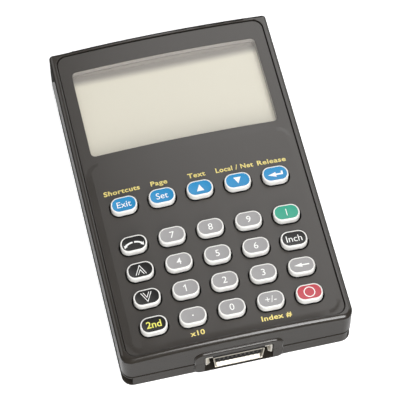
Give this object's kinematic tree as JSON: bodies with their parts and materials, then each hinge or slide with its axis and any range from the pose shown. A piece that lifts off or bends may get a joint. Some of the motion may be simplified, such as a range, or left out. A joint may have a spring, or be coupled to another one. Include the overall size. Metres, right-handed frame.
{
  "type": "drive operator keypad",
  "caption": "Slim handheld operator keypad for a motor drive: arched dark face with a display window, a grid of pill-shaped push keys and a plug connector in the lower end.",
  "frame": {"origin": "on the back face, at the middle of the outline in plan", "axes": "+X across the face to the right, +Y along the face towards the display end, +Z out of the face"},
  "size_m": [0.0666, 0.1054, 0.0185],
  "materials": {
    "case_plastic": "moulded, fine spark-eroded texture",
    "face_plastic": "moulded, satin",
    "clear_window": "polished acrylic",
    "white_plastic": "moulded",
    "display_film": "anti-glare film",
    "display_glass": "polished",
    "light_panel": "moulded, dotted back",
    "conductive_rubber": "striped silicone",
    "silicone": "moulded silicone",
    "board_laminate": "solder mask",
    "chip_epoxy": "moulded epoxy",
    "plated_steel": "nickel plated",
    "insulator_plastic": "moulded, glass filled",
    "contact_plating": "gold plated",
    "screw_steel": "zinc plated",
    "key_white": "moulded, satin"
  },
  "bodies": {
    "housing": {"front_cover": "case_plastic", "rear_cover": "case_plastic", "faceplate": "face_plastic", "display_window": "clear_window", "lcd_bezel": "white_plastic", "front_polariser": "display_film", "lcd_front_glass": "display_glass", "lcd_rear_glass": "display_glass", "rear_polariser": "display_film", "light_guide": "light_panel", "elastomer_strip": "conductive_rubber", "keypad_mat": "silicone", "circuit_board": "board_laminate", "controller_chip": "chip_epoxy", "memory_chip": "chip_epoxy", "connector_shell": "plated_steel", "connector_insulator": "insulator_plastic", "connector_contacts": "contact_plating", "connector_latches": "plated_steel", "case_screws": "screw_steel"},
    "key_escape": {"key_escape": "key_white"},
    "key_select": {"key_select": "key_white"},
    "key_up": {"key_up": "key_white"},
    "key_down": {"key_down": "key_white"},
    "key_enter": {"key_enter": "key_white"},
    "key_direction": {"key_direction": "key_white"},
    "key_7": {"key_7": "key_white"},
    "key_8": {"key_8": "key_white"},
    "key_9": {"key_9": "key_white"},
    "key_start": {"key_start": "key_white"},
    "key_page_up": {"key_page_up": "key_white"},
    "key_4": {"key_4": "key_white"},
    "key_5": {"key_5": "key_white"},
    "key_6": {"key_6": "key_white"},
    "key_jog": {"key_jog": "key_white"},
    "key_page_down": {"key_page_down": "key_white"},
    "key_1": {"key_1": "key_white"},
    "key_2": {"key_2": "key_white"},
    "key_3": {"key_3": "key_white"},
    "key_backspace": {"key_backspace": "key_white"},
    "key_shift": {"key_shift": "key_white"},
    "key_point": {"key_point": "key_white"},
    "key_0": {"key_0": "key_white"},
    "key_sign": {"key_sign": "key_white"},
    "key_stop": {"key_stop": "key_white"}
  },
  "joints": [
    {"name": "key_escape_press", "type": "slide", "parent": "housing", "child": "key_escape", "axis": [0, 0, -1], "range_m": [0, 0.0012], "stiffness_N_per_m": 1200, "deforming": ["keypad_mat"]},
    {"name": "key_select_press", "type": "slide", "parent": "housing", "child": "key_select", "axis": [0, 0, -1], "range_m": [0, 0.0012], "stiffness_N_per_m": 1200, "deforming": ["keypad_mat"]},
    {"name": "key_up_press", "type": "slide", "parent": "housing", "child": "key_up", "axis": [0, 0, -1], "range_m": [0, 0.0012], "stiffness_N_per_m": 1200, "deforming": ["keypad_mat"]},
    {"name": "key_down_press", "type": "slide", "parent": "housing", "child": "key_down", "axis": [0, 0, -1], "range_m": [0, 0.0012], "stiffness_N_per_m": 1200, "deforming": ["keypad_mat"]},
    {"name": "key_enter_press", "type": "slide", "parent": "housing", "child": "key_enter", "axis": [0, 0, -1], "range_m": [0, 0.0012], "stiffness_N_per_m": 1200, "deforming": ["keypad_mat"]},
    {"name": "key_direction_press", "type": "slide", "parent": "housing", "child": "key_direction", "axis": [0, 0, -1], "range_m": [0, 0.0012], "stiffness_N_per_m": 1200, "deforming": ["keypad_mat"]},
    {"name": "key_7_press", "type": "slide", "parent": "housing", "child": "key_7", "axis": [0, 0, -1], "range_m": [0, 0.0012], "stiffness_N_per_m": 1200, "deforming": ["keypad_mat"]},
    {"name": "key_8_press", "type": "slide", "parent": "housing", "child": "key_8", "axis": [0, 0, -1], "range_m": [0, 0.0012], "stiffness_N_per_m": 1200, "deforming": ["keypad_mat"]},
    {"name": "key_9_press", "type": "slide", "parent": "housing", "child": "key_9", "axis": [0, 0, -1], "range_m": [0, 0.0012], "stiffness_N_per_m": 1200, "deforming": ["keypad_mat"]},
    {"name": "key_start_press", "type": "slide", "parent": "housing", "child": "key_start", "axis": [0, 0, -1], "range_m": [0, 0.0012], "stiffness_N_per_m": 1200, "deforming": ["keypad_mat"]},
    {"name": "key_page_up_press", "type": "slide", "parent": "housing", "child": "key_page_up", "axis": [0, 0, -1], "range_m": [0, 0.0012], "stiffness_N_per_m": 1200, "deforming": ["keypad_mat"]},
    {"name": "key_4_press", "type": "slide", "parent": "housing", "child": "key_4", "axis": [0, 0, -1], "range_m": [0, 0.0012], "stiffness_N_per_m": 1200, "deforming": ["keypad_mat"]},
    {"name": "key_5_press", "type": "slide", "parent": "housing", "child": "key_5", "axis": [0, 0, -1], "range_m": [0, 0.0012], "stiffness_N_per_m": 1200, "deforming": ["keypad_mat"]},
    {"name": "key_6_press", "type": "slide", "parent": "housing", "child": "key_6", "axis": [0, 0, -1], "range_m": [0, 0.0012], "stiffness_N_per_m": 1200, "deforming": ["keypad_mat"]},
    {"name": "key_jog_press", "type": "slide", "parent": "housing", "child": "key_jog", "axis": [0, 0, -1], "range_m": [0, 0.0012], "stiffness_N_per_m": 1200, "deforming": ["keypad_mat"]},
    {"name": "key_page_down_press", "type": "slide", "parent": "housing", "child": "key_page_down", "axis": [0, 0, -1], "range_m": [0, 0.0012], "stiffness_N_per_m": 1200, "deforming": ["keypad_mat"]},
    {"name": "key_1_press", "type": "slide", "parent": "housing", "child": "key_1", "axis": [0, 0, -1], "range_m": [0, 0.0012], "stiffness_N_per_m": 1200, "deforming": ["keypad_mat"]},
    {"name": "key_2_press", "type": "slide", "parent": "housing", "child": "key_2", "axis": [0, 0, -1], "range_m": [0, 0.0012], "stiffness_N_per_m": 1200, "deforming": ["keypad_mat"]},
    {"name": "key_3_press", "type": "slide", "parent": "housing", "child": "key_3", "axis": [0, 0, -1], "range_m": [0, 0.0012], "stiffness_N_per_m": 1200, "deforming": ["keypad_mat"]},
    {"name": "key_backspace_press", "type": "slide", "parent": "housing", "child": "key_backspace", "axis": [0, 0, -1], "range_m": [0, 0.0012], "stiffness_N_per_m": 1200, "deforming": ["keypad_mat"]},
    {"name": "key_shift_press", "type": "slide", "parent": "housing", "child": "key_shift", "axis": [0, 0, -1], "range_m": [0, 0.0012], "stiffness_N_per_m": 1200, "deforming": ["keypad_mat"]},
    {"name": "key_point_press", "type": "slide", "parent": "housing", "child": "key_point", "axis": [0, 0, -1], "range_m": [0, 0.0012], "stiffness_N_per_m": 1200, "deforming": ["keypad_mat"]},
    {"name": "key_0_press", "type": "slide", "parent": "housing", "child": "key_0", "axis": [0, 0, -1], "range_m": [0, 0.0012], "stiffness_N_per_m": 1200, "deforming": ["keypad_mat"]},
    {"name": "key_sign_press", "type": "slide", "parent": "housing", "child": "key_sign", "axis": [0, 0, -1], "range_m": [0, 0.0012], "stiffness_N_per_m": 1200, "deforming": ["keypad_mat"]},
    {"name": "key_stop_press", "type": "slide", "parent": "housing", "child": "key_stop", "axis": [0, 0, -1], "range_m": [0, 0.0012], "stiffness_N_per_m": 1200, "deforming": ["keypad_mat"]}
  ]
}
